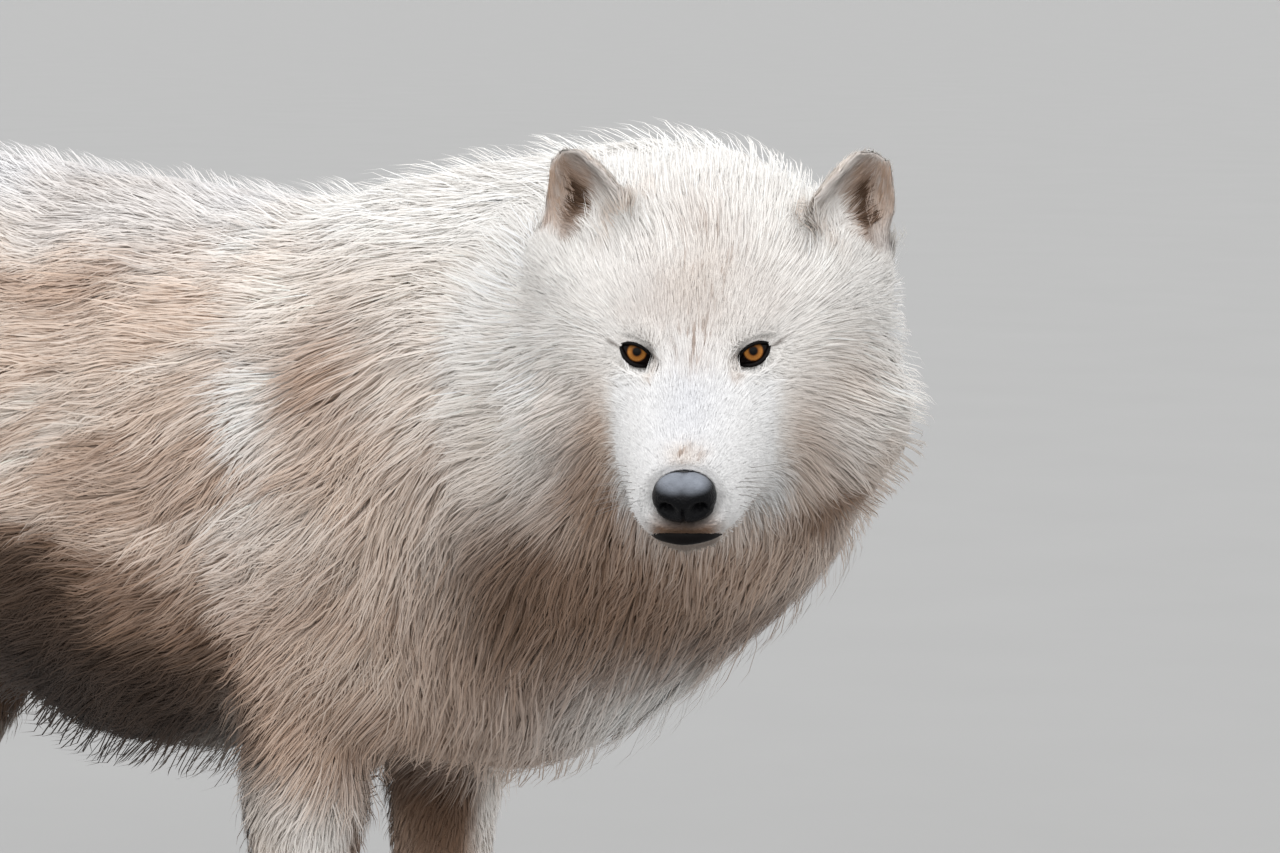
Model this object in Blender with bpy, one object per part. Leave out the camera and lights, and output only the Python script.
"""Arctic wolf: a still, life-size figure, standing square with its head turned to its right.

Metres, Z up, X towards the chest, Y to the wolf's left. Every size is to the tips of the winter coat.
The body is drawn as tubes and rounded masses in a working frame whose floor is Z = 0 and whose X = 0
lies between the forelegs. It is fused into one closed body, parted into its anatomical pieces, and
moved at the end so that the origin is the middle of its bounding box on the floor.
"""

import math

import bmesh
import bpy
import numpy as np
from mathutils import Matrix, Vector

# Driving sizes
GAP = 0.0003                 # clearance between neighbouring pieces
VOXEL = 0.0045               # cell of the fused body before it is thinned out
BODY_TRIANGLES = 4400        # triangles of the fused body
FACE_THINNING = 0.3          # how hard the face is thinned out, where the rest is 1
THINNING_PULL = 0.004        # how far the thinning weights steer the thinning
SOFTENING_STEPS = 24         # rounds of smoothing
EAR_AND_TOE_SOFTENING = 0.25 # how far ears and toes are smoothed, where the rest is 1
TOES_BELOW = 0.045           # the toes lie below this level
THROAT = -0.14               # the lowest level of the face, in the head's frame
HEAD_BACK = -0.13            # the head's back plane, in its own frame
HALF_TRACK_FRONT = 0.085     # foreleg to the middle plane
HALF_TRACK_HIND = 0.092      # hind leg to the middle plane
EYE_SPACING = 0.078          # iris to iris
EYE_RADIUS = 0.0125
GAZE = Vector((0.912, 0.100, 0.397))   # where both eyes look, in the head's frame
EYE_OPENING = (0.013, 0.0125, 0.0085)  # radii of the hollow between the lids
EYE_OPENING_TILT = -24.0
NOSE_TILT = 12.0
SMALL_AROUND, SMALL_RINGS = 16, 9      # facets of eyes and nose, and of their hollows
LEFT_FORELEG_BACK = 0.022    # the left foreleg stands this far behind the right one
LEFT_HIND_BACK = 0.012


# The head's own frame: origin midway between the irises, X out of the face, Y left, Z up
HEAD_PLACE = Vector((0.450, -0.140, 0.685))
HEAD_TURN = math.radians(-54.0)
HEAD_NOD = math.radians(18.5)
HEAD_ROLL = math.radians(1.0)
HEAD = (
    Matrix.Translation(HEAD_PLACE)
    @ Matrix.Rotation(HEAD_TURN, 4, "Z")
    @ Matrix.Rotation(HEAD_NOD, 4, "Y")
    @ Matrix.Rotation(HEAD_ROLL, 4, "X")
)

# Upright sections from the rump to the breast: X, top, bottom, half width
TRUNK = [
    (-0.740, 0.660, 0.600, 0.020),
    (-0.712, 0.712, 0.535, 0.066),
    (-0.660, 0.752, 0.470, 0.104),
    (-0.580, 0.780, 0.415, 0.128),
    (-0.480, 0.789, 0.375, 0.136),
    (-0.380, 0.785, 0.350, 0.142),
    (-0.280, 0.777, 0.328, 0.148),
    (-0.180, 0.771, 0.322, 0.152),
    (-0.090, 0.766, 0.338, 0.153),
    (0.000, 0.767, 0.352, 0.153),
    (0.080, 0.780, 0.352, 0.150),
    (0.150, 0.770, 0.352, 0.140),
    (0.205, 0.730, 0.380, 0.115),
    (0.240, 0.660, 0.440, 0.060),
]

# Upright sections of the mane and ruff, from the withers to the back of the skull: X, Y, top, bottom,
# half width
NECK = [
    (-0.040, 0.000, 0.755, 0.460, 0.110),
    (0.040, 0.000, 0.781, 0.400, 0.142),
    (0.110, 0.000, 0.797, 0.362, 0.151),
    (0.180, 0.002, 0.806, 0.352, 0.152),
    (0.245, 0.000, 0.815, 0.388, 0.152),
    (0.300, -0.010, 0.820, 0.430, 0.152),
    (0.350, -0.035, 0.819, 0.470, 0.144),
    (0.390, -0.070, 0.811, 0.508, 0.132),
    (0.415, -0.100, 0.781, 0.550, 0.108),
]

# Sections of skull and muzzle in the head's frame, back to front: X, top, bottom, half width
SKULL = [
    (-0.160, 0.055, -0.100, 0.075),
    (-0.130, 0.074, -0.122, 0.104),
    (-0.095, 0.074, -0.126, 0.112),
    (-0.060, 0.060, -0.122, 0.108),
    (-0.030, 0.041, -0.118, 0.093),
    (-0.008, 0.022, -0.114, 0.076),
    (0.015, 0.006, -0.109, 0.060),
    (0.038, -0.004, -0.106, 0.052),
    (0.062, -0.013, -0.104, 0.046),
    (0.088, -0.020, -0.102, 0.038),
    (0.108, -0.026, -0.099, 0.032),
    (0.120, -0.034, -0.093, 0.023),
    (0.127, -0.046, -0.084, 0.010),
]

# Cheek ruff in the head's frame, left side: centre, radii
CHEEKS = [
    ((-0.088, 0.098, 0.010), (0.044, 0.035, 0.055)),
    ((-0.078, 0.074, -0.020), (0.054, 0.061, 0.070)),
    ((-0.070, 0.077, -0.076), (0.056, 0.066, 0.058)),
    ((-0.060, 0.056, -0.106), (0.052, 0.068, 0.048)),
    ((-0.070, 0.000, -0.118), (0.062, 0.080, 0.046)),
]
BROW = ((-0.024, 0.032, 0.012), (0.022, 0.028, 0.015))
LIP_PAD = ((0.082, 0.016, -0.066), (0.034, 0.024, 0.024))

# Muscle masses in the working frame, left side: centre, radii, tilt about Y in degrees
SHOULDER = ((0.055, 0.092, 0.560), (0.105, 0.066, 0.170), 14.0)
THIGH = ((-0.560, 0.088, 0.550), (0.112, 0.070, 0.175), -10.0)

# Sections down each leg, left side, about the leg's own track: X, Y, Z, half width, front, back
FORELEG = [
    (0.060, 0.008, 0.540, 0.050, 0.078, 0.080),
    (0.036, 0.008, 0.450, 0.050, 0.070, 0.076),
    (0.022, 0.004, 0.380, 0.046, 0.058, 0.060),
    (0.016, 0.000, 0.310, 0.042, 0.047, 0.050),
    (0.012, 0.000, 0.225, 0.036, 0.040, 0.042),
    (0.014, 0.000, 0.160, 0.034, 0.036, 0.036),
    (0.018, 0.000, 0.105, 0.031, 0.031, 0.034),
    (0.026, 0.000, 0.065, 0.035, 0.040, 0.036),
    (0.034, 0.000, 0.030, 0.042, 0.050, 0.044),
    (0.036, 0.000, 0.000, 0.043, 0.048, 0.043),
    (0.036, 0.000, -0.015, 0.040, 0.042, 0.038),
]
HINDLEG = [
    (-0.560, 0.000, 0.600, 0.055, 0.100, 0.100),
    (-0.545, 0.014, 0.510, 0.060, 0.092, 0.108),
    (-0.540, 0.018, 0.430, 0.054, 0.072, 0.090),
    (-0.562, 0.012, 0.350, 0.044, 0.052, 0.064),
    (-0.600, 0.004, 0.275, 0.036, 0.041, 0.046),
    (-0.632, 0.000, 0.212, 0.031, 0.034, 0.042),
    (-0.636, 0.000, 0.150, 0.028, 0.030, 0.031),
    (-0.622, 0.000, 0.095, 0.028, 0.030, 0.030),
    (-0.604, 0.000, 0.058, 0.033, 0.038, 0.034),
    (-0.592, 0.000, 0.028, 0.040, 0.048, 0.044),
    (-0.590, 0.000, 0.000, 0.041, 0.046, 0.043),
    (-0.590, 0.000, -0.015, 0.038, 0.040, 0.038),
]
TOES = [(0.030, 0.034), (0.047, 0.012), (0.047, -0.012), (0.030, -0.034)]   # X, Y from the paw's middle
TOE_RADII = (0.026, 0.0125, 0.019)

# Sections down the brush: X, Z, half width, front, back
TAIL = [
    (-0.660, 0.735, 0.040, 0.040, 0.035),
    (-0.710, 0.700, 0.043, 0.040, 0.042),
    (-0.748, 0.625, 0.051, 0.048, 0.052),
    (-0.768, 0.530, 0.058, 0.055, 0.060),
    (-0.770, 0.430, 0.058, 0.055, 0.060),
    (-0.760, 0.340, 0.051, 0.048, 0.052),
    (-0.747, 0.270, 0.036, 0.034, 0.038),
    (-0.738, 0.225, 0.014, 0.014, 0.015),
]

# The ears in the head's frame: each is pricked a little differently. Base, tip, the way the cup faces
EARS = {
    "left": (Vector((-0.080, 0.099, 0.030)), Vector((-0.092, 0.1205, 0.106)), Vector((0.86, 0.50, 0.10))),
    "right": (Vector((-0.080, -0.0775, 0.036)), Vector((-0.092, -0.094, 0.111)), Vector((0.90, -0.42, 0.10))),
}
EAR_WIDTHS = (               # share of the height, reach towards the head's middle, reach outwards
    (0.00, 0.018, 0.024),
    (0.25, 0.035, 0.031),
    (0.50, 0.045, 0.027),
    (0.75, 0.029, 0.0215),
    (0.90, 0.020, 0.0155),
    (1.00, 0.004, 0.004),
)
EAR_CUP = 0.022              # how deep the cup is behind its rims
EAR_WALL = 0.0085            # the ear's leather with the fur on both faces

# The nose pad in the head's frame
NOSE_PLACE = (0.1160, 0.0010, -0.0500)
NOSE_RADII = (0.0168, 0.0216, 0.0170)

COLOURS = {
    "white fur": ((0.80, 0.76, 0.70), 0.9),
    "cream fur": ((0.66, 0.56, 0.47), 0.9),
    "nose leather": ((0.02, 0.02, 0.024), 0.35),
    "eye": ((0.55, 0.24, 0.05), 0.08),
}


def clear_scene():
    for old in list(bpy.data.objects):
        bpy.data.objects.remove(old, do_unlink=True)


def material(name):
    """One Principled material for each kind of surface, made when it is first asked for."""
    if name in bpy.data.materials:
        return bpy.data.materials[name]
    colour, roughness = COLOURS[name]
    made = bpy.data.materials.new(name)
    made.use_nodes = True
    shader = made.node_tree.nodes["Principled BSDF"]
    shader.inputs["Base Color"].default_value = (*colour, 1.0)
    shader.inputs["Roughness"].default_value = roughness
    shader.inputs["Metallic"].default_value = 0.0
    return made


def new_object(name, mesh):
    piece = bpy.data.objects.new(name, mesh)
    bpy.context.collection.objects.link(piece)
    return piece


# --- closed shapes, each given as points and faces -------------------------------------------------


def smooth_rows(rows, steps):
    """Rows read as one smooth curve through their own numbers (Catmull-Rom), `steps` to a stretch."""
    rows = np.array(rows, float)
    ends = np.vstack([2 * rows[0] - rows[1], rows, 2 * rows[-1] - rows[-2]])
    t = np.linspace(0.0, 1.0, steps, endpoint=False)[:, None]
    out = []
    for p0, p1, p2, p3 in zip(ends[:-3], ends[1:-2], ends[2:-1], ends[3:]):
        bend = (2 * p0 - 5 * p1 + 4 * p2 - p3) * t**2
        swing = (3 * p1 - p0 - 3 * p2 + p3) * t**3
        out.append(0.5 * (2 * p1 + (p2 - p0) * t + bend + swing))
    return np.vstack(out + [rows[-1:]])


def ring_faces(rings, sides):
    """Quads between closed rings of points and one flat cap at each end, all facing out."""
    faces = []
    for i in range(rings - 1):
        for j in range(sides):
            k = (j + 1) % sides
            faces.append((i * sides + j, i * sides + k, (i + 1) * sides + k, (i + 1) * sides + j))
    last = (rings - 1) * sides
    faces.append(tuple(reversed(range(sides))))
    faces.append(tuple(range(last, last + sides)))
    return faces


def unit(vectors):
    return vectors / np.linalg.norm(vectors, axis=-1, keepdims=True)


def tube(rows, upright=False, steps=4, sides=36, fullness=2.25):
    """A closed tube through sections (x, y, z, half width, plus, minus).

    Upright sections stand vertical across a level path, with plus above and minus below the path.
    The others lie square to a falling path, with their width along Y and plus towards +X. A section
    is a superellipse: width times cos^(2/fullness), reach times sin^(2/fullness).
    """
    rings = smooth_rows(rows, steps)
    centre = rings[:, :3]
    along = np.gradient(centre, axis=0)
    if upright:
        along[:, 2] = 0.0
        along = unit(along)
        side = unit(np.cross((0.0, 0.0, 1.0), along))
    else:
        along = unit(along)
        side = np.array((0.0, 1.0, 0.0)) - along * along[:, 1:2]
        side = unit(side)
    rise = np.cross(along, side)
    angle = np.linspace(0.0, 2 * math.pi, sides, endpoint=False)
    across = np.sign(np.cos(angle)) * np.abs(np.cos(angle)) ** (2 / fullness)
    height = np.sign(np.sin(angle)) * np.abs(np.sin(angle)) ** (2 / fullness)
    reach = np.where(height > 0, rings[:, 4:5], rings[:, 5:6])
    points = (
        centre[:, None, :]
        + (rings[:, 3:4] * across)[:, :, None] * side[:, None, :]
        + (reach * height)[:, :, None] * rise[:, None, :]
    )
    return points.reshape(-1, 3), ring_faces(len(rings), sides)


def section_rows(rows):
    """(x, y, top, bottom, half width) as the tube's own rows about the middle height."""
    return [(x, y, (top + low) / 2, half, (top - low) / 2, (top - low) / 2)
            for x, y, top, low, half in rows]


def ball(centre, radii, place=None, tilt=0.0, around=36, rings=18):
    """A closed ellipsoid: longitude and latitude circles scaled by its three radii."""
    shape = bmesh.new()
    bmesh.ops.create_uvsphere(shape, u_segments=around, v_segments=rings, radius=1.0)
    move = Matrix.Translation(centre) @ Matrix.Rotation(math.radians(tilt), 4, "Y")
    move = (place or Matrix()) @ move @ Matrix.Diagonal((*radii, 1.0))
    shape.transform(move)
    points = np.array([v.co[:] for v in shape.verts])
    faces = [tuple(v.index for v in face.verts) for face in shape.faces]
    shape.free()
    return points, faces


def ear(word):
    """An upright cup: crescent sections stacked from base to tip.

    Each section runs out along the back at the full radius and returns along the hollow one wall
    inside it. The rim towards the head's middle bulges halfway up, where it runs out on the crown, and
    slants to the tip, so the ear is a leaning triangle with a round tip.
    """
    base, tip, facing = (np.array(v) for v in EARS[word])
    rise = unit(tip - base)
    back = -unit(facing - rise * np.dot(facing, rise))
    across = np.cross(back, rise)
    height = np.linalg.norm(tip - base)
    share = 1.0 - np.linspace(1.0, 0.0, 18) ** 1.7
    stations, inwards, outwards = np.array(EAR_WIDTHS).T
    inwards = np.interp(share, stations, inwards)
    outwards = np.interp(share, stations, outwards)
    middle_sign = -1.0 if word == "left" else 1.0
    sweep = np.linspace(-math.radians(105), math.radians(105), 15)
    outer = np.stack([np.sin(sweep), np.cos(sweep)], axis=1)
    rings = []
    for part, inward, outward in zip(share, inwards, outwards):
        wide = 0.5 * (inward + outward)
        wall = min(EAR_WALL, 0.7 * wide)
        deep = EAR_CUP * min(1.0, wide / 0.025)
        inner = outer[::-1] * ((wide - wall) / wide, max(deep - wall, 0.2 * deep) / deep)
        ring = np.vstack([outer, inner]) * (1.0, deep)
        ring[:, 0] *= np.where(ring[:, 0] * middle_sign > 0.0, inward, outward)
        spot = base + rise * (height * part)
        rings.append(spot + ring[:, :1] * across + ring[:, 1:] * back)
    points = np.vstack(rings)
    return points, ring_faces(len(rings), len(rings[0]))


def in_head(shape):
    points, faces = shape
    rotation = np.array(HEAD.to_3x3())
    return points @ rotation.T + np.array(HEAD.translation), faces


def mesh_of(name, shapes):
    """Several closed shapes as one mesh, their faces turned outwards."""
    points, faces, start = [], [], 0
    for shape_points, shape_faces in shapes:
        points.append(shape_points)
        faces += [tuple(index + start for index in face) for face in shape_faces]
        start += len(shape_points)
    mesh = bpy.data.meshes.new(name)
    mesh.from_pydata(np.vstack(points).tolist(), [], faces)
    work = bmesh.new()
    work.from_mesh(mesh)
    bmesh.ops.recalc_face_normals(work, faces=work.faces)
    work.to_mesh(mesh)
    work.free()
    return mesh


# --- the fused body --------------------------------------------------------------------------------


def leg_shapes(rows, track, side, back):
    """One leg and its toes. `side` is 1 on the left and -1 on the right."""
    placed = [(x - back, side * (track + y), z, half, front, rear) for x, y, z, half, front, rear in rows]
    shapes = [tube(placed, steps=3, sides=28)]
    paw_x, paw_y = placed[-2][0], placed[-2][1]
    for toe_x, toe_y in TOES:
        shapes.append(ball((paw_x + toe_x, paw_y + side * toe_y, 0.016), TOE_RADII, around=20, rings=10))
    return shapes


def body_shapes():
    trunk_rows = [(x, 0.0, top, low, half) for x, top, low, half in TRUNK]
    skull_rows = [(x, 0.0, top, low, half) for x, top, low, half in SKULL]
    tail_rows = [(x, 0.0, z, half, front, back) for x, z, half, front, back in TAIL]
    shapes = [
        tube(section_rows(trunk_rows), upright=True, fullness=2.35),
        tube(section_rows(NECK), upright=True),
        in_head(tube(section_rows(skull_rows), upright=True)),
        tube(tail_rows),
    ]
    for side in (1, -1):
        flip = (1.0, side, 1.0)
        for centre, radii in CHEEKS + [BROW, LIP_PAD]:
            shapes.append(in_head(ball(np.multiply(centre, flip), radii)))
        for centre, radii, tilt in (SHOULDER, THIGH):
            shapes.append(ball(np.multiply(centre, flip), radii, tilt=tilt))
        shapes.append(in_head(ear("left" if side > 0 else "right")))
        shapes += leg_shapes(FORELEG, HALF_TRACK_FRONT, side, LEFT_FORELEG_BACK if side > 0 else 0.0)
        shapes += leg_shapes(HINDLEG, HALF_TRACK_HIND, side, LEFT_HIND_BACK if side > 0 else 0.0)
    return shapes


def evaluated_mesh(piece):
    """The piece's mesh with its modifiers applied."""
    graph = bpy.context.evaluated_depsgraph_get()
    return bpy.data.meshes.new_from_object(piece.evaluated_get(graph))


def swap_mesh(piece):
    """Bake the modifiers into the piece's own mesh."""
    mesh = evaluated_mesh(piece)
    piece.modifiers.clear()
    piece.data = mesh


def boolean(piece, cutter, operation):
    step = piece.modifiers.new(operation.title(), "BOOLEAN")
    step.operation = operation
    step.solver = "EXACT"
    step.object = cutter
    swap_mesh(piece)


def weigh(piece, name, chosen, weight):
    """A vertex group that holds `weight` on the chosen vertices and 1 on all others."""
    group = piece.vertex_groups.new(name=name)
    group.add([i for i, fine in enumerate(chosen) if not fine], 1.0, "REPLACE")
    group.add([i for i, fine in enumerate(chosen) if fine], weight, "REPLACE")


def fused_body():
    """All masses run into one skin, softened, and thinned to the working number of triangles."""
    body = new_object("body", mesh_of("body", body_shapes()))
    fuse = body.modifiers.new("Fuse", "REMESH")
    fuse.mode = "VOXEL"
    fuse.voxel_size = VOXEL
    swap_mesh(body)
    inside = HEAD.inverted()
    places = [(inside @ v.co, v.co) for v in body.data.vertices]
    in_face = [p.x > HEAD_BACK and p.z > THROAT for p, q in places]
    thin_walled = [q.z < TOES_BELOW or face and p.z > 0.055 and abs(p.y) > 0.06
                   for face, (p, q) in zip(in_face, places)]
    weigh(body, "softening", thin_walled, EAR_AND_TOE_SOFTENING)
    weigh(body, "thinning", in_face, FACE_THINNING)
    soften = body.modifiers.new("Soften", "SMOOTH")
    soften.factor = 0.5
    soften.iterations = SOFTENING_STEPS
    soften.vertex_group = "softening"
    thin = body.modifiers.new("Thin", "DECIMATE")
    thin.vertex_group = "thinning"
    thin.vertex_group_factor = THINNING_PULL
    thin.ratio = BODY_TRIANGLES / (2 * len(body.data.polygons))
    thin.use_collapse_triangulate = True
    swap_mesh(body)
    return body


# --- parting ---------------------------------------------------------------------------------------


def box_cutter(centre, size, place=None, turn=(0.0, 0.0, 0.0), grow=0.0):
    """A box of the given full size, turned by degrees about X, Y and Z, grown by `grow` all round."""
    shape = bmesh.new()
    bmesh.ops.create_cube(shape, size=1.0)
    move = Matrix.Translation(centre)
    for degrees, axis in zip(turn, "XYZ"):
        move = move @ Matrix.Rotation(math.radians(degrees), 4, axis)
    scale = Matrix.Diagonal((*(edge + 2 * grow for edge in size), 1.0))
    shape.transform((place or Matrix()) @ move @ scale)
    mesh = bpy.data.meshes.new("cutter")
    shape.to_mesh(mesh)
    shape.free()
    return new_object("cutter", mesh)


def small_ball(name, centre, radii, tilt=0.0):
    """An ellipsoid of the head's small parts, as an object, placed in the head's frame."""
    return new_object(name, mesh_of(name, [ball(centre, radii, HEAD, tilt, SMALL_AROUND, SMALL_RINGS)]))


def hollow(piece, centre, radii, tilt=0.0, grow=GAP):
    """Cut an ellipsoid, grown all round, out of a piece of the head."""
    cut_away(piece, small_ball("cutter", centre, tuple(radius + grow for radius in radii), tilt))


def cut_away(piece, cutter):
    boolean(piece, cutter, "DIFFERENCE")
    bpy.data.objects.remove(cutter, do_unlink=True)


def part_off(body, name, finish, make_cutter, *where, **how):
    """Take what lies inside a cutter off the body as a piece of its own, a gap away from the rest."""
    piece = new_object(name, body.data.copy())
    inner = make_cutter(*where, **how)
    boolean(piece, inner, "INTERSECT")
    bpy.data.objects.remove(inner, do_unlink=True)
    cut_away(body, make_cutter(*where, grow=GAP, **how))
    piece.data.materials.clear()
    piece.data.materials.append(material(finish))
    return piece


def part_head(body):
    """Ears, lower jaw and head, then the eyes and the nose pad in their own hollows."""
    pieces = []
    for side, word in ((1, "left"), (-1, "right")):
        centre = EARS[word][0] + Vector((0.0, side * 0.031, 0.059))
        pieces.append(part_off(body, "ear_" + word, "cream fur", box_cutter, centre,
                               (0.096, 0.104, 0.100), place=HEAD, turn=(-side * 32.0, 0.0, 0.0)))
    head = part_off(body, "head", "white fur", box_cutter, (0.03, 0.0, 0.0), (0.30, 0.40, 0.40), place=HEAD)
    jaw = part_off(head, "lower_jaw", "white fur", box_cutter, (0.086, 0.0, -0.1075),
                   (0.130, 0.12, 0.060), place=HEAD, turn=(0.0, 4.0, 0.0))
    nose = small_ball("nose", NOSE_PLACE, NOSE_RADII, NOSE_TILT)
    nose.data.materials.append(material("nose leather"))
    hollow(head, NOSE_PLACE, NOSE_RADII, NOSE_TILT)
    pieces += [head, jaw, nose]
    for side, word in ((1, "left"), (-1, "right")):
        iris = Vector((0.0, side * EYE_SPACING / 2, 0.0))
        centre = iris - GAZE.normalized() * EYE_RADIUS
        eye = small_ball("eye_" + word, centre, (EYE_RADIUS,) * 3)
        eye.data.materials.append(material("eye"))
        hollow(head, centre, (EYE_RADIUS,) * 3)
        hollow(head, iris + Vector((0.004, 0.0, 0.002)), EYE_OPENING, EYE_OPENING_TILT, grow=0.0)
        pieces.append(eye)
    return pieces


def part_tail(body):
    return part_off(body, "tail", "white fur", box_cutter, (-0.776, 0.0, 0.440), (0.140, 0.122, 0.62),
                    turn=(0.0, -4.0, 0.0))


def part_legs(body):
    """Each leg as upper piece, lower piece and paw, cut square to the floor."""
    pieces = []
    for side, word in ((1, "left"), (-1, "right")):
        y = side * 0.10
        front_x = 0.02 - (LEFT_FORELEG_BACK if side > 0 else 0.0)
        hind_x = -0.61 - (LEFT_HIND_BACK if side > 0 else 0.0)
        for name, x, wide, low, high in (
            ("foreleg_paw", front_x, 0.20, -0.10, 0.070),
            ("foreleg_pastern", front_x, 0.20, 0.070, 0.165),
            ("foreleg_forearm", front_x, 0.20, 0.165, 0.325),
            ("hindleg_paw", hind_x, 0.22, -0.10, 0.070),
            ("hindleg_shank", hind_x, 0.22, 0.070, 0.215),
            ("hindleg_gaskin", hind_x, 0.22, 0.215, 0.340),
        ):
            centre = (x, y, (low + high) / 2)
            pieces.append(part_off(body, f"{name}_{word}", "cream fur", box_cutter, centre,
                                   (wide, 0.18, high - low)))
    return pieces


def part_body(body):
    """The thighs, below a slanting plane from groin to flank, then the spine from rump to neck."""
    pieces = []
    for side, word in ((1, "left"), (-1, "right")):
        centre = (-0.600, side * 0.245, 0.470)
        pieces.append(part_off(body, "hindleg_thigh_" + word, "cream fur", box_cutter, centre,
                               (0.340, 0.300, 0.560), turn=(-side * 20.0, 0.0, 0.0)))
    for name, low, high in (("rump", -1.0, -0.42), ("loin", -0.42, -0.15), ("chest", -0.15, 0.17)):
        pieces.append(part_off(body, name, "cream fur", box_cutter, ((low + high) / 2, 0.0, 0.5),
                               (high - low, 0.6, 1.0)))
    body.name = "neck"
    body.data.materials.clear()
    body.data.materials.append(material("white fur"))
    pieces.append(body)
    return pieces


def floor_cut(body):
    """The soles end on the floor in flats at one level."""
    cut_away(body, box_cutter((0.0, 0.0, -0.10), (3.0, 2.0, 0.20)))


def centre_on_floor(pieces):
    """Move everything so that the origin is the middle of the bounding box, on the floor."""
    corners = np.vstack([np.array([v.co[:] for v in piece.data.vertices]) for piece in pieces])
    low, high = corners.min(axis=0), corners.max(axis=0)
    shift = Vector((-(low[0] + high[0]) / 2, -(low[1] + high[1]) / 2, -low[2]))
    for piece in pieces:
        piece.location = shift


def build():
    clear_scene()
    body = fused_body()
    floor_cut(body)
    pieces = part_head(body) + [part_tail(body)] + part_legs(body) + part_body(body)
    for piece in pieces:
        piece.data.shade_smooth()
        piece.data.set_sharp_from_angle(angle=math.radians(50))
    centre_on_floor(pieces)


build()
